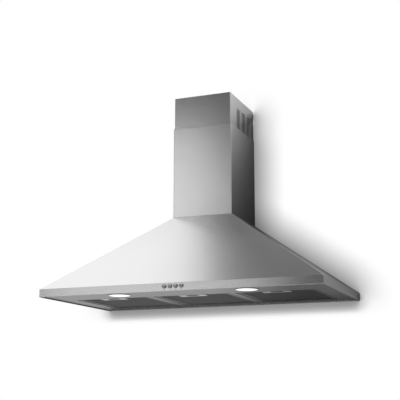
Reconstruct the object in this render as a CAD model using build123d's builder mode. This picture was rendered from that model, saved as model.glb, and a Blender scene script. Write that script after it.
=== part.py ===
from build123d import *
import os
from math import acos, cos, degrees, pi, radians, sin, sqrt

# A wall-mounted pyramid chimney hood.
# X runs along the wall, the wall is the plane Y = 0, the front faces -Y and Z is up.
# The origin is on the wall, in the middle of the canopy's lower edge. All sizes are in millimetres.

# Canopy
canopy_width = 898.0
canopy_depth = 465.0
canopy_height = 267.0
rim_height = 25.0
sheet = 0.8
fold_radius = 0.6
seat_clearance = 0.2

# Back panel and its wall fixings
back_flange = 14.0
keyhole_spacing = 280.0
keyhole_height = 175.0
keyhole_head_radius = 6.5
keyhole_neck_radius = 3.0
keyhole_neck_rise = 10.0
safety_hole_spacing = 600.0
safety_hole_height = 40.0
safety_hole_radius = 3.2

# Bottom panel and its openings
panel_recess = 3.0
panel_flange = 8.0
front_strip = 134.0
side_strip = 56.0
opening_rear = 45.0
opening_corner = 3.0
divider_width = 19.5

# Chimney
chimney_width = 200.0
chimney_depth = 234.0
lower_chimney_height = 299.0
upper_chimney_length = 300.0
upper_chimney_rise = 105.0
nesting_gap = 1.7
chimney_return = 15.0
vent_length = 37.0
vent_height = 5.6
vent_rows = 8
vent_columns = 3
vent_row_pitch = 8.9
vent_column_pitch = 51.5
vent_wall_distance = 101.5
vent_drop = 70.0
chimney_tab_depth = 15.0
chimney_tab_width = 24.0
chimney_tab_setback = 12.0
glide_width = 30.0
glide_height = 12.0
glide_lift = 12.0
glide_clearance = 0.3
glide_front_spacing = 120.0
glide_side_spacing = 130.0

# Chimney wall bracket
bracket_thickness = 1.5
bracket_height = 24.0
bracket_drop = 20.0
bracket_ear = 30.0
bracket_hole_spacing = 140.0
bracket_hole_radius = 3.0
bracket_screw_setback = 18.0

# Screws, all of one shank
screw_radius = 2.0
screw_clearance = 0.15
screw_head_radius = 3.5
screw_head_height = 2.4
low_head_height = 1.3
screw_length = 10.0

# Grease filters
filter_names = ("left", "centre", "right")
filter_clearance = 1.5
filter_thickness = 9.0
filter_sheet = 0.8
filter_band = 14.0
mesh_clearance = 0.1
tab_reach = 8.0
tab_width = 30.0
tab_spacing = 150.0
tab_thickness = 1.2

# Filter latches
latch_plate_width = 86.0
latch_plate_depth = 35.0
latch_plate_thickness = 1.2
latch_plate_setback = 2.5
latch_plate_corner = 5.0
latch_box_width = 66.0
latch_box_setback = 4.5
latch_box_depth = 29.5
latch_wall = 1.2
latch_gap = 0.3
finger_width = 40.0
finger_front = 8.5
finger_depth = 19.5
slide_width = 37.0
slide_strip = 1.6
slide_length = 15.0
slide_lip_recess = 0.4
tongue_reach = 5.0
ear_width = 10.0
ear_setback = 3.0
latch_coil_radius = 1.9
latch_wire_radius = 0.3
latch_coil_pitch = 2.2

# Lamps
lamp_divider_offset = 70.75
lamp_setback = 65.0
lamp_hole_radius = 34.0
lamp_fit = 0.3
bezel_flange = 2.2
bezel_thickness = 1.4
bezel_wall = 1.4
bezel_height = 9.0
lens_thickness = 3.0
lens_recess = 0.4
lens_edge = 0.8
lamp_body_height = 16.0
lamp_fin_count = 3
lamp_fin_depth = 5.0
clip_width = 9.0
clip_strip = 0.7
clip_reach = 12.0

# Push-buttons and their switch block
button_names = ("light", "speed_1", "speed_2", "speed_3")
button_pitch = 18.0
button_drop = 9.7
button_radius = 6.4
button_proud = 6.5
button_nose_radius = 1.1
button_clearance = 0.3
button_travel = 4.0
collar_width = 1.3
collar_thickness = 1.5
stem_radius = 2.2
stem_clearance = 0.05
switch_end = 12.0
switch_depth = 24.0
switch_floor = 8.0
switch_top_gap = 0.8
switch_foot_gap = 2.4
board_thickness = 1.6
button_coil_radius = 4.4
button_wire_radius = 0.35
button_coil_pitch = 2.4

# Blower
outlet_wall_distance = 117.0
scroll_radius = 88.0
scroll_growth = 8.0
scroll_floor_gap = 9.0
blower_half_width = 62.0
blower_wall = 2.0
throat_half = 66.0
inlet_radius = 58.0
outlet_flange_thickness = 2.5
outlet_flange_half_x = 80.0
outlet_flange_half_y = 78.0
outlet_screw_offset = 72.0
impeller_radius = 70.0
impeller_half_width = 50.0
impeller_disc = 2.0
blade_count = 36
blade_depth = 12.0
blade_thickness = 1.2
end_ring_width = 3.0
end_ring_lip = 1.0
hub_radius = 12.0
hub_half_length = 10.0
shaft_radius = 4.0
shaft_clearance = 0.05
nut_flats = 13.0
nut_height = 6.5
motor_radius = 45.0
motor_length = 58.0
motor_gap = 4.0
motor_edge = 3.0
motor_cap_radius = 16.0
motor_cap_length = 6.0
motor_end_wall = 8.0
cradle_band = 4.0
cradle_length = 8.0
cradle_arm_width = 13.0
cradle_arm_thickness = 3.0
cradle_arm_count = 3
cradle_screw_radius_at = 66.0
grommet_radius = 5.5
grommet_thickness = 3.0

# Outlet collar and damper
collar_radius = 74.5
collar_wall = 2.0
collar_height = 45.0
collar_flange = 2.5
collar_corner = 8.0
ledge_height = 14.0
ledge_width = 6.5
ledge_thickness = 2.0
flap_gap = 0.8
flap_lift = 0.3
flap_thickness = 1.6
flap_split = 0.4
flap_pin_radius = 1.5
flap_pin_clearance = 0.05
knuckle_wall = 1.45
knuckle_count = 6
knuckle_gap = 0.4
knuckle_end = 4.0
pin_inset = 0.2

# Control box and leads
control_box_lead_room = 15.75
control_box_width = 110.0
control_box_height = 70.0
control_box_depth = 42.0
control_box_floor = 45.0
control_wall = 2.0
control_cover_thickness = 2.0
capacitor_radius = 14.0
capacitor_length = 62.0
gland_offset = 82.0
gland_wall_distance = 26.0
gland_radius = 7.8
gland_flange = 2.2
gland_flange_thickness = 1.5
gland_bore = 3.6
lead_radius = 2.0
lead_bend = 12.0
lead_hole_clearance = 0.25
lead_entry = 10.0
lead_pitch = 5.0
lead_rise = 8.0
clip_bridge = 1.2
clip_bridge_length = 8.0
clip_count = 3

# Heights and planes that the pieces share
side_run = (canopy_width - chimney_width) / 2 / (canopy_height - rim_height)
front_run = (canopy_depth - chimney_depth) / (canopy_height - rim_height)
panel_top = panel_recess + sheet
panel_half_width = canopy_width / 2 - sheet - seat_clearance
panel_front = -(canopy_depth - sheet - seat_clearance)
back_panel_face = -sheet
rim_inner_face = -(canopy_depth - sheet)
opening_rear_edge = -opening_rear
opening_front_edge = -(canopy_depth - front_strip)
opening_depth = opening_rear_edge - opening_front_edge
filter_pitch = (canopy_width - 2 * side_strip + divider_width) / len(filter_names)
opening_width = filter_pitch - divider_width
filter_bottom = panel_top + seat_clearance
filter_top = filter_bottom + filter_thickness
outlet_y = -outlet_wall_distance
top_plate_bottom = canopy_height - sheet
seam_height = canopy_height + lower_chimney_height
chimney_top = seam_height + upper_chimney_rise
screw_hole_radius = screw_radius + screw_clearance

os.makedirs("parts", exist_ok=True)


def finish(piece, name):
    """Label a finished piece and write it to its own file."""
    piece.part.label = name
    export_step(piece.part, f"parts/{name}.step")


def block(x0, x1, y0, y1, z0, z1, mode=Mode.ADD):
    """A box between two corners, in the part being built."""
    with Locations(((x0 + x1) / 2, (y0 + y1) / 2, (z0 + z1) / 2)):
        Box(x1 - x0, y1 - y0, z1 - z0, mode=mode)


def rod(start, direction, radius, length, mode=Mode.ADD):
    """A round bar from a point along a direction, in the part being built."""
    with Locations(Plane(origin=start, z_dir=direction)):
        Cylinder(radius, length, align=(Align.CENTER, Align.CENTER, Align.MIN), mode=mode)


def canopy_form(inset, beyond=0.0):
    """The canopy's solid form with its skin moved in, run on past the wall and the lower edge."""
    side_stretch = sqrt(1 + side_run**2)
    front_stretch = sqrt(1 + front_run**2)
    top = canopy_height - inset
    half_width = canopy_width / 2 - inset
    depth = canopy_depth - inset
    side_bend = rim_height - inset * (side_stretch - 1) / side_run
    front_bend = rim_height - inset * (front_stretch - 1) / front_run
    top_half_width = canopy_width / 2 - (top - rim_height) * side_run - inset * side_stretch
    top_depth = canopy_depth - (top - rim_height) * front_run - inset * front_stretch
    with BuildPart() as form:
        with BuildSketch(Plane.XZ.offset(-beyond)):
            with BuildLine():
                Polyline(
                    (half_width, -beyond), (half_width, side_bend), (top_half_width, top),
                    (-top_half_width, top), (-half_width, side_bend), (-half_width, -beyond),
                    close=True,
                )
            make_face()
        extrude(amount=depth + beyond)
        with BuildSketch(Plane.YZ):
            with BuildLine():
                Polyline(
                    (beyond, -beyond), (-depth, -beyond), (-depth, front_bend),
                    (-top_depth, top), (beyond, top),
                    close=True,
                )
            make_face()
        extrude(amount=half_width, both=True, mode=Mode.INTERSECT)
    return form.part


def screw(head_seat, direction, length, head_height=screw_head_height):
    """A pan-head screw whose head sits on a point and whose shank runs along a direction."""
    seat = Vector(*head_seat)
    along = Vector(*direction)
    rod(seat, along * -1, screw_head_radius, head_height)
    rod(seat, along, screw_radius, length)


# Canopy: rim, pyramid and top plate in one folded and welded sheet
outer_form = canopy_form(0.0)
inner_form = canopy_form(sheet, beyond=sheet)
button_axis_z = rim_height - button_drop
button_xs = [(i - (len(button_names) - 1) / 2) * button_pitch for i in range(len(button_names))]
outlet_screws = [
    (sx * outlet_screw_offset, outlet_y + sy * outlet_screw_offset) for sx in (-1, 1) for sy in (-1, 1)
]
hem_rear = -(back_flange + seat_clearance)
chimney_tab_y = -(chimney_depth - sheet - chimney_tab_setback)
chimney_screw_x = chimney_width / 2 - sheet - chimney_tab_depth / 2
chimney_screw_y = chimney_tab_y + chimney_tab_width / 2
gland_x = -gland_offset
gland_y = -gland_wall_distance

with BuildPart() as canopy:
    add(outer_form)
    add(inner_form, mode=Mode.SUBTRACT)
    # Hem turned inwards along the lower edge, on which the bottom panel rests
    with BuildSketch(Plane.XY):
        with Locations((0, (rim_inner_face + hem_rear) / 2)):
            Rectangle(canopy_width - 2 * sheet, hem_rear - rim_inner_face)
        with Locations((0, (rim_inner_face + sheet + hem_rear) / 2)):
            Rectangle(canopy_width - 4 * sheet, hem_rear - rim_inner_face - sheet, mode=Mode.SUBTRACT)
    extrude(amount=panel_recess)
    # The fold of that hem, round on the outside
    lower_edges = canopy.edges().group_by(Axis.Z)[0]
    front_fold = lower_edges.sort_by(Axis.Y)[0]
    side_folds = [lower_edges.sort_by(Axis.X)[0], lower_edges.sort_by(Axis.X)[-1]]
    fillet([front_fold, *side_folds], 2 * sheet - seat_clearance)
    # Air outlet, screw holes and cable gland hole in the top plate
    rod((0, outlet_y, top_plate_bottom), (0, 0, 1), throat_half, sheet, Mode.SUBTRACT)
    for x, y in outlet_screws:
        rod((x, y, top_plate_bottom), (0, 0, 1), screw_hole_radius, sheet, Mode.SUBTRACT)
    for side in (-1, 1):
        hole = (side * chimney_screw_x, chimney_screw_y, top_plate_bottom)
        rod(hole, (0, 0, 1), screw_hole_radius, sheet, Mode.SUBTRACT)
    rod((gland_x, gland_y, top_plate_bottom), (0, 0, 1), gland_radius + seat_clearance, sheet,
        Mode.SUBTRACT)
    # Button holes in the front of the rim
    for x in button_xs:
        rod((x, -canopy_depth, button_axis_z), (0, 1, 0), button_radius + button_clearance, sheet,
            Mode.SUBTRACT)
finish(canopy, "canopy")

# Back panel: a shallow tray against the wall, with keyholes to hang it and safety screw holes
back_outer = canopy_form(sheet + seat_clearance)
back_inner = canopy_form(2 * sheet + seat_clearance, beyond=sheet)

with BuildPart() as back_hollow:
    add(back_inner)
    block(-canopy_width, canopy_width, back_panel_face, 2 * sheet, -2 * sheet, canopy_height, Mode.SUBTRACT)

with BuildPart() as back_panel:
    add(back_outer)
    block(-canopy_width, canopy_width, -2 * canopy_depth, -back_flange, -sheet, canopy_height,
          Mode.SUBTRACT)
    add(back_hollow.part, mode=Mode.SUBTRACT)
    with BuildSketch(Plane.XZ):
        with Locations(*[(side * keyhole_spacing / 2, keyhole_height) for side in (-1, 1)]):
            Circle(keyhole_head_radius)
        for side in (-1, 1):
            with Locations((side * keyhole_spacing / 2, keyhole_height + keyhole_neck_rise / 2)):
                SlotCenterToCenter(keyhole_neck_rise, 2 * keyhole_neck_radius, rotation=90)
        with Locations(*[(side * safety_hole_spacing / 2, safety_hole_height) for side in (-1, 1)]):
            Circle(safety_hole_radius)
    extrude(amount=sheet, mode=Mode.SUBTRACT)
finish(back_panel, "back_panel")

# Bottom panel: the underside sheet with a turned-up edge, filter openings and lamp holes
panel_rear = back_panel_face - seat_clearance
corner_notch = sheet + seat_clearance
filter_xs = {
    name: (i - (len(filter_names) - 1) / 2) * filter_pitch for i, name in enumerate(filter_names)
}
lamp_y = -(canopy_depth - lamp_setback)
lamp_x = filter_pitch / 2 + lamp_divider_offset
lamp_xs = {"left": -lamp_x, "right": lamp_x}
switch_half_length = button_xs[-1] + switch_end
switch_window = switch_half_length + switch_foot_gap

with BuildPart() as bottom_panel:
    block(-panel_half_width, panel_half_width, panel_front, panel_rear, panel_recess,
          panel_top + panel_flange)
    block(-panel_half_width + sheet, panel_half_width - sheet, panel_front + sheet, panel_rear - sheet,
          panel_top, panel_top + panel_flange, Mode.SUBTRACT)
    for side in (-1, 1):
        corner_in = side * (panel_half_width - corner_notch)
        corner_out = side * panel_half_width
        block(min(corner_in, corner_out), max(corner_in, corner_out), hem_rear, panel_rear, panel_recess,
              panel_top + panel_flange, Mode.SUBTRACT)
    # The turned-up front edge is cut away behind the switch block
    block(-switch_window, switch_window, panel_front, panel_front + sheet, panel_top,
          panel_top + panel_flange, Mode.SUBTRACT)
    with BuildSketch(Plane.XY.offset(panel_recess)):
        for x in filter_xs.values():
            with Locations((x, (opening_front_edge + opening_rear_edge) / 2)):
                RectangleRounded(opening_width, opening_depth, opening_corner)
        for x in lamp_xs.values():
            with Locations((x, lamp_y)):
                Circle(lamp_hole_radius)
    extrude(amount=sheet, mode=Mode.SUBTRACT)
finish(bottom_panel, "bottom_panel")


def chimney_section(inset, bottom, length):
    """The plan of a chimney section with its rear returns, drawn up to a length."""
    half_width = chimney_width / 2 - inset
    front = -(chimney_depth - inset)
    rear = -inset
    block(-half_width, half_width, front, rear, bottom, bottom + length)
    block(-half_width + sheet, half_width - sheet, front + sheet, rear - sheet, bottom, bottom + length,
          Mode.SUBTRACT)
    block(-half_width + chimney_return, half_width - chimney_return, rear - sheet, rear, bottom,
          bottom + length, Mode.SUBTRACT)


def round_front_folds(chimney):
    """Round the two front folds of a chimney section, on the inside and then on the outside."""
    inner_folds = chimney.edges().filter_by(Axis.Z).sort_by(Axis.Y)[2:4]
    fillet(inner_folds, fold_radius)
    outer_folds = chimney.edges().filter_by(Axis.Z).sort_by(Axis.Y)[:2]
    fillet(outer_folds, fold_radius + sheet)


# Lower chimney, standing on the canopy's top plate on two screwed tabs
with BuildPart() as lower_chimney:
    chimney_section(0.0, canopy_height, lower_chimney_height)
    round_front_folds(lower_chimney)
    for side in (-1, 1):
        tab_out = side * (chimney_width / 2 - sheet)
        tab_in = tab_out - side * chimney_tab_depth
        block(min(tab_in, tab_out), max(tab_in, tab_out), chimney_tab_y, chimney_tab_y + chimney_tab_width,
              canopy_height, canopy_height + sheet)
        hole = (side * chimney_screw_x, chimney_screw_y, canopy_height)
        rod(hole, (0, 0, 1), screw_hole_radius, sheet, Mode.SUBTRACT)
finish(lower_chimney, "lower_chimney")

with BuildPart() as chimney_screws:
    for side in (-1, 1):
        screw((side * chimney_screw_x, chimney_screw_y, canopy_height + sheet), (0, 0, -1), screw_length)
finish(chimney_screws, "chimney_screws")

# Upper chimney, telescoping in the lower one, with vent slots on both sides
upper_inset = sheet + nesting_gap
upper_bottom = chimney_top - upper_chimney_length
upper_half_width = chimney_width / 2 - upper_inset
bracket_z = chimney_top - bracket_drop
ear_screw_y = -bracket_screw_setback
vent_z = chimney_top - vent_drop

with BuildPart() as upper_chimney:
    chimney_section(upper_inset, upper_bottom, upper_chimney_length)
    round_front_folds(upper_chimney)
    # The rear returns stop below the wall bracket
    block(-upper_half_width + sheet, upper_half_width - sheet, -upper_inset - sheet, -upper_inset,
          bracket_z - bracket_height, chimney_top, Mode.SUBTRACT)
    with BuildSketch(Plane.YZ):
        with Locations((-vent_wall_distance, vent_z)):
            with GridLocations(vent_column_pitch, vent_row_pitch, vent_columns, vent_rows):
                SlotOverall(vent_length, vent_height)
        with Locations((ear_screw_y, bracket_z)):
            Circle(screw_hole_radius)
    extrude(amount=chimney_width, both=True, mode=Mode.SUBTRACT)
finish(upper_chimney, "upper_chimney")

# Glide pads on the foot of the upper chimney, which run on the inside of the lower one
glide_thickness = nesting_gap - glide_clearance
glide_low = upper_bottom + glide_lift
glide_high = glide_low + glide_height
upper_front = -(chimney_depth - upper_inset)
chimney_middle = -chimney_depth / 2

with BuildPart() as chimney_glides:
    for side in (-1, 1):
        glide_x = side * glide_front_spacing / 2
        block(glide_x - glide_width / 2, glide_x + glide_width / 2, upper_front - glide_thickness,
              upper_front, glide_low, glide_high)
        glide_in = side * upper_half_width
        glide_out = side * (upper_half_width + glide_thickness)
        for end in (-1, 1):
            glide_y = chimney_middle + end * glide_side_spacing / 2
            block(min(glide_in, glide_out), max(glide_in, glide_out), glide_y - glide_width / 2,
                  glide_y + glide_width / 2, glide_low, glide_high)
finish(chimney_glides, "chimney_glides")

# Chimney wall bracket: a strap on the wall with two ears inside the upper chimney
ear_outer = upper_half_width - sheet - seat_clearance
bracket_low = bracket_z - bracket_height / 2
bracket_high = bracket_z + bracket_height / 2

with BuildPart() as chimney_bracket:
    block(-ear_outer, ear_outer, -bracket_ear, 0, bracket_low, bracket_high)
    block(-ear_outer + bracket_thickness, ear_outer - bracket_thickness, -bracket_ear, -bracket_thickness,
          bracket_low, bracket_high, Mode.SUBTRACT)
    for side in (-1, 1):
        rod((side * bracket_hole_spacing / 2, 0, bracket_z), (0, -1, 0), bracket_hole_radius,
            bracket_thickness, Mode.SUBTRACT)
        rod((side * ear_outer, ear_screw_y, bracket_z), (-side, 0, 0), screw_hole_radius,
            bracket_thickness, Mode.SUBTRACT)
finish(chimney_bracket, "chimney_bracket")

with BuildPart() as bracket_screws:
    for side in (-1, 1):
        screw((side * upper_half_width, ear_screw_y, bracket_z), (-side, 0, 0), screw_length,
              low_head_height)
finish(bracket_screws, "bracket_screws")

# Blower scroll: a volute of three tangent arcs that opens upwards into a square throat
back_radius = scroll_radius + 2 * scroll_growth
floor_radius = scroll_radius + scroll_growth
scroll_floor = filter_top + scroll_floor_gap
throat_rear = outlet_y + throat_half
throat_front = outlet_y - throat_half
back_centre = (throat_rear - back_radius, scroll_floor + back_radius)
floor_centre = (back_centre[0], scroll_floor + floor_radius)
front_centre = (floor_centre[0] - floor_radius + scroll_radius, floor_centre[1])
axis_y = (back_centre[0] + front_centre[0]) / 2
axis_z = (back_centre[1] + front_centre[1]) / 2


def scroll_block(inset, half_width, mode):
    """The scroll's side outline moved in by a wall, drawn across the blower's width."""
    front_radius = scroll_radius - inset
    tongue = degrees(acos((throat_front + inset - front_centre[0]) / front_radius))
    tongue_z = front_centre[1] + front_radius * sin(radians(tongue))
    with BuildSketch(Plane.YZ, mode=Mode.PRIVATE) as outline:
        with BuildLine():
            Line((throat_rear - inset, top_plate_bottom), (throat_rear - inset, back_centre[1]))
            CenterArc(back_centre, back_radius - inset, 0, -90)
            CenterArc(floor_centre, floor_radius - inset, -90, -90)
            CenterArc(front_centre, front_radius, 180, tongue - 180)
            Line((throat_front + inset, tongue_z), (throat_front + inset, top_plate_bottom))
            Line((throat_front + inset, top_plate_bottom), (throat_rear - inset, top_plate_bottom))
        make_face()
    extrude(outline.sketch, amount=half_width, both=True, mode=mode)


def blower_half(side):
    """One half of the blower housing, parted down the middle of the impeller."""
    with BuildPart() as half:
        scroll_block(0.0, blower_half_width, Mode.ADD)
        block(-outlet_flange_half_x, outlet_flange_half_x, outlet_y - outlet_flange_half_y,
              outlet_y + outlet_flange_half_y, top_plate_bottom - outlet_flange_thickness, top_plate_bottom)
        scroll_block(blower_wall, blower_half_width - blower_wall, Mode.SUBTRACT)
        rod((-blower_half_width, axis_y, axis_z), (1, 0, 0), inlet_radius, 2 * blower_half_width,
            Mode.SUBTRACT)
        for x, y in outlet_screws:
            rod((x, y, top_plate_bottom), (0, 0, -1), screw_hole_radius, outlet_flange_thickness,
                Mode.SUBTRACT)
        for turn in cradle_angles:
            y, z = around_axis(cradle_screw_radius_at, turn)
            rod((-blower_half_width, y, z), (1, 0, 0), screw_hole_radius, blower_wall, Mode.SUBTRACT)
        split(bisect_by=Plane.YZ, keep=Keep.TOP if side > 0 else Keep.BOTTOM)
    return half


def around_axis(radius, turn):
    """The Y and Z of a point at a radius and an angle about the blower's axis."""
    return axis_y + radius * cos(radians(turn)), axis_z + radius * sin(radians(turn))


cradle_angles = [90 + i * 360 / cradle_arm_count for i in range(cradle_arm_count)]
scroll_left = blower_half(-1)
finish(scroll_left, "scroll_left")
scroll_right = blower_half(1)
finish(scroll_right, "scroll_right")

# Impeller: a middle disc with blades to both sides, end rings and a hub
with BuildPart() as impeller:
    rod((-impeller_disc / 2, axis_y, axis_z), (1, 0, 0), impeller_radius, impeller_disc)
    rod((-hub_half_length, axis_y, axis_z), (1, 0, 0), hub_radius, 2 * hub_half_length)
    for end in (-impeller_half_width, impeller_half_width - end_ring_width):
        with BuildSketch(Plane.YZ.offset(end)):
            with Locations((axis_y, axis_z)):
                Circle(impeller_radius)
                Circle(impeller_radius - blade_depth - end_ring_lip, mode=Mode.SUBTRACT)
        extrude(amount=end_ring_width)
    with BuildSketch(Plane.YZ.offset(-impeller_half_width)):
        with Locations((axis_y, axis_z)):
            with PolarLocations(impeller_radius - blade_depth / 2, blade_count):
                Rectangle(blade_depth, blade_thickness)
            Circle(impeller_radius - end_ring_width / 2, mode=Mode.INTERSECT)
    extrude(amount=2 * impeller_half_width)
    rod((-hub_half_length, axis_y, axis_z), (1, 0, 0), shaft_radius, 2 * hub_half_length, Mode.SUBTRACT)
finish(impeller, "impeller")

# Motor with its shaft, hung in the left inlet on a three-armed cradle
motor_front = -(hub_half_length + motor_gap)
motor_rear = motor_front - motor_length
shaft_rear = motor_rear + motor_end_wall
nut_seat = hub_half_length
shaft_front = nut_seat + nut_height

with BuildPart() as motor:
    rod((motor_front, axis_y, axis_z), (-1, 0, 0), motor_radius, motor_length)
    fillet(motor.edges().filter_by(GeomType.CIRCLE), motor_edge)
    rod((motor_rear, axis_y, axis_z), (-1, 0, 0), motor_cap_radius, motor_cap_length)
    rod((motor_front, axis_y, axis_z), (-1, 0, 0), shaft_radius + shaft_clearance,
        motor_length - motor_end_wall + seat_clearance, Mode.SUBTRACT)
finish(motor, "motor")

with BuildPart() as motor_shaft:
    rod((shaft_rear, axis_y, axis_z), (1, 0, 0), shaft_radius, shaft_front - shaft_rear)
finish(motor_shaft, "motor_shaft")

with BuildPart() as impeller_nut:
    with BuildSketch(Plane.YZ.offset(nut_seat)):
        with Locations((axis_y, axis_z)):
            RegularPolygon(nut_flats / 2, 6, major_radius=False)
            Circle(shaft_radius, mode=Mode.SUBTRACT)
    extrude(amount=nut_height)
finish(impeller_nut, "impeller_nut")

arm_inner = -(blower_half_width + grommet_thickness)
arm_outer = arm_inner - cradle_arm_thickness
arm_reach = cradle_screw_radius_at + grommet_radius

with BuildPart() as motor_cradle:
    with BuildSketch(Plane.YZ.offset(arm_outer)):
        with Locations((axis_y, axis_z)):
            Circle(motor_radius + cradle_band)
            for turn in cradle_angles:
                with Locations(Rot(0, 0, turn)):
                    with Locations((arm_reach / 2, 0)):
                        Rectangle(arm_reach, cradle_arm_width)
            Circle(motor_radius, mode=Mode.SUBTRACT)
    extrude(amount=cradle_arm_thickness)
    with BuildSketch(Plane.YZ.offset(arm_outer)):
        with Locations((axis_y, axis_z)):
            Circle(motor_radius + cradle_band)
            Circle(motor_radius, mode=Mode.SUBTRACT)
    extrude(amount=cradle_length)
    for turn in cradle_angles:
        y, z = around_axis(cradle_screw_radius_at, turn)
        rod((arm_outer, y, z), (1, 0, 0), screw_hole_radius, cradle_arm_thickness, Mode.SUBTRACT)
finish(motor_cradle, "motor_cradle")

with BuildPart() as motor_grommets:
    for turn in cradle_angles:
        y, z = around_axis(cradle_screw_radius_at, turn)
        rod((arm_inner, y, z), (1, 0, 0), grommet_radius, grommet_thickness)
        rod((arm_inner, y, z), (1, 0, 0), screw_hole_radius, grommet_thickness, Mode.SUBTRACT)
finish(motor_grommets, "motor_grommets")

with BuildPart() as motor_screws:
    for turn in cradle_angles:
        y, z = around_axis(cradle_screw_radius_at, turn)
        screw((arm_outer, y, z), (1, 0, 0), screw_length)
finish(motor_screws, "motor_screws")

# Outlet collar on the top plate, with a ledge for the damper flaps
collar_base = canopy_height
collar_bore = collar_radius - collar_wall
ledge_top = collar_base + ledge_height
flap_bottom = ledge_top + flap_lift
flap_top = flap_bottom + flap_thickness
knuckle_radius = flap_pin_radius + flap_pin_clearance + knuckle_wall
pin_z = flap_bottom + knuckle_radius

with BuildPart() as outlet_collar:
    with BuildSketch(Plane.XY.offset(collar_base)):
        with Locations((0, outlet_y)):
            RectangleRounded(2 * outlet_flange_half_x, 2 * outlet_flange_half_y, collar_corner)
    extrude(amount=collar_flange)
    rod((0, outlet_y, collar_base), (0, 0, 1), collar_radius, collar_height)
    rod((0, outlet_y, collar_base), (0, 0, 1), collar_bore, collar_height, Mode.SUBTRACT)
    with BuildSketch(Plane.XY.offset(ledge_top - ledge_thickness)):
        with Locations((0, outlet_y)):
            Circle(collar_radius - collar_wall / 2)
            Circle(collar_bore - ledge_width, mode=Mode.SUBTRACT)
    extrude(amount=ledge_thickness)
    for x, y in outlet_screws:
        rod((x, y, collar_base), (0, 0, 1), screw_hole_radius, collar_flange, Mode.SUBTRACT)
    rod((0, outlet_y - collar_radius, pin_z), (0, 1, 0), flap_pin_radius, 2 * collar_radius, Mode.SUBTRACT)
finish(outlet_collar, "outlet_collar")

with BuildPart() as blower_screws:
    for x, y in outlet_screws:
        screw((x, y, collar_base + collar_flange), (0, 0, -1), screw_length)
finish(blower_screws, "blower_screws")

pin_half_length = collar_radius - pin_inset
with BuildPart() as damper_pin:
    rod((0, outlet_y - pin_half_length, pin_z), (0, 1, 0), flap_pin_radius, 2 * pin_half_length)
finish(damper_pin, "damper_pin")

flap_radius = collar_bore - flap_gap
knuckle_row = 2 * (flap_radius - knuckle_end)
knuckle_span = knuckle_row / knuckle_count
knuckle_clear = knuckle_radius + knuckle_gap


def damper_flap(side, own):
    """A half-round flap; it carries every other knuckle on the pin and is notched at the rest."""
    with BuildPart() as flap:
        with BuildSketch(Plane.XY.offset(flap_bottom)):
            with Locations((0, outlet_y)):
                Circle(flap_radius)
            with Locations((side * (flap_split + flap_radius / 2), outlet_y)):
                Rectangle(flap_radius, 2 * flap_radius, mode=Mode.INTERSECT)
        extrude(amount=flap_thickness)
        for index in range(knuckle_count):
            start = outlet_y - knuckle_row / 2 + index * knuckle_span
            end = start + knuckle_span
            if index % 2 == own:
                rod((0, start + knuckle_gap, pin_z), (0, 1, 0), knuckle_radius,
                    knuckle_span - 2 * knuckle_gap)
            else:
                block(-knuckle_clear, knuckle_clear, start, end, flap_bottom, flap_top, Mode.SUBTRACT)
        rod((0, outlet_y - flap_radius, pin_z), (0, 1, 0), flap_pin_radius + flap_pin_clearance,
            2 * flap_radius, Mode.SUBTRACT)
    return flap


damper_flap_left = damper_flap(-1, 0)
finish(damper_flap_left, "damper_flap_left")
damper_flap_right = damper_flap(1, 1)
finish(damper_flap_right, "damper_flap_right")

# Push-buttons, each sliding in its chamber of the switch block behind the rim
switch_rear = rim_inner_face + switch_depth
chamber_floor = switch_rear - switch_floor
collar_front = rim_inner_face + seat_clearance
collar_rear = collar_front + collar_thickness
button_collar_radius = button_radius + collar_width
stem_end = switch_rear - button_travel - seat_clearance
switch_bottom = panel_top + switch_foot_gap
switch_top = rim_height - switch_top_gap
coil_start = collar_rear + button_wire_radius + seat_clearance
coil_end = chamber_floor - button_wire_radius - seat_clearance

for name, x in zip(button_names, button_xs):
    with BuildPart() as button:
        rod((x, -canopy_depth - button_proud, button_axis_z), (0, 1, 0), button_radius,
            collar_front - (-canopy_depth - button_proud))
        fillet(button.faces().sort_by(Axis.Y)[0].edges(), button_radius - button_nose_radius)
        rod((x, collar_front, button_axis_z), (0, 1, 0), button_collar_radius, collar_thickness)
        rod((x, collar_rear, button_axis_z), (0, 1, 0), stem_radius, stem_end - collar_rear)
    finish(button, f"button_{name}")

with BuildPart() as switch_housing:
    block(-switch_half_length, switch_half_length, rim_inner_face, switch_rear, switch_bottom, switch_top)
    for x in button_xs:
        rod((x, rim_inner_face, button_axis_z), (0, 1, 0), button_collar_radius + button_clearance,
            chamber_floor - rim_inner_face, Mode.SUBTRACT)
        rod((x, chamber_floor, button_axis_z), (0, 1, 0), stem_radius + stem_clearance, switch_floor,
            Mode.SUBTRACT)
finish(switch_housing, "switch_housing")

with BuildPart() as switch_board:
    block(-switch_half_length, switch_half_length, switch_rear, switch_rear + board_thickness,
          switch_bottom, switch_top)
finish(switch_board, "switch_board")

with BuildPart() as button_springs:
    for x in button_xs:
        with BuildLine():
            coil = Helix(button_coil_pitch, coil_end - coil_start, button_coil_radius,
                         center=(x, coil_start, button_axis_z), direction=(0, 1, 0))
        with BuildSketch(Plane(origin=coil @ 0, z_dir=coil % 0)):
            Circle(button_wire_radius)
        sweep(path=coil, is_frenet=True)
finish(button_springs, "button_springs")

# Lamps: bezel below the panel, lens in it, finned body above and spring clips
bezel_tube_radius = lamp_hole_radius - lamp_fit
bezel_bore = bezel_tube_radius - bezel_wall
bezel_bottom = panel_recess - bezel_thickness
bezel_top = bezel_bottom + bezel_thickness + bezel_height
lens_bottom = bezel_bottom + lens_recess
lamp_body_bottom = bezel_top
fin_pitch = lamp_body_height / (2 * lamp_fin_count)
clip_foot = panel_top + clip_strip
clip_root = lamp_body_bottom + fin_pitch

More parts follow.
